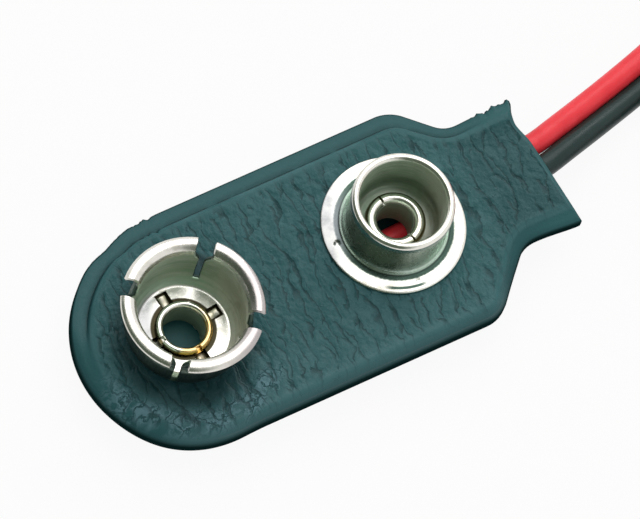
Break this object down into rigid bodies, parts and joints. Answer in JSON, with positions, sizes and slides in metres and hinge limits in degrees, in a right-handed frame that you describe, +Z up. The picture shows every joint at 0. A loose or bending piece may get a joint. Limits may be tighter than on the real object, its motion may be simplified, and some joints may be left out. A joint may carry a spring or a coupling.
{
  "type": "battery snap connector",
  "caption": "Soft nine volt battery snap: a slotted spring socket and a hollow stud riveted to a vinyl-covered strip, with red and black leads.",
  "frame": {"origin": "middle of the cover's length and width, on the surface that the connector lies on", "axes": "+X along the cover towards its tail and leads, +Z up out of the contacts' open ends, +Y across the cover"},
  "size_m": [0.0515, 0.0194, 0.0067],
  "materials": {
    "vinyl": "leather-grained",
    "fibre": "matt",
    "nickel": "bright plated",
    "brass": "plated, worn at the rim",
    "copper": "bare strands",
    "tin": "tinned",
    "red_insulation": "satin",
    "black_insulation": "satin",
    "tie": "matt"
  },
  "bodies": {
    "root": {"top_cover": "vinyl", "back_cover": "vinyl", "stiffener_board": "fibre", "socket_cup": "nickel", "socket_eyelet": "brass", "stud_cup": "nickel", "stud_eyelet": "nickel", "red_strands": "copper", "red_solder": "tin", "black_strands": "copper", "black_solder": "tin", "red_lead": "red_insulation", "black_lead": "black_insulation", "red_coil": "red_insulation", "black_coil": "black_insulation", "red_tip": "tin", "black_tip": "tin", "lead_tie": "tie"}
  },
  "joints": []
}
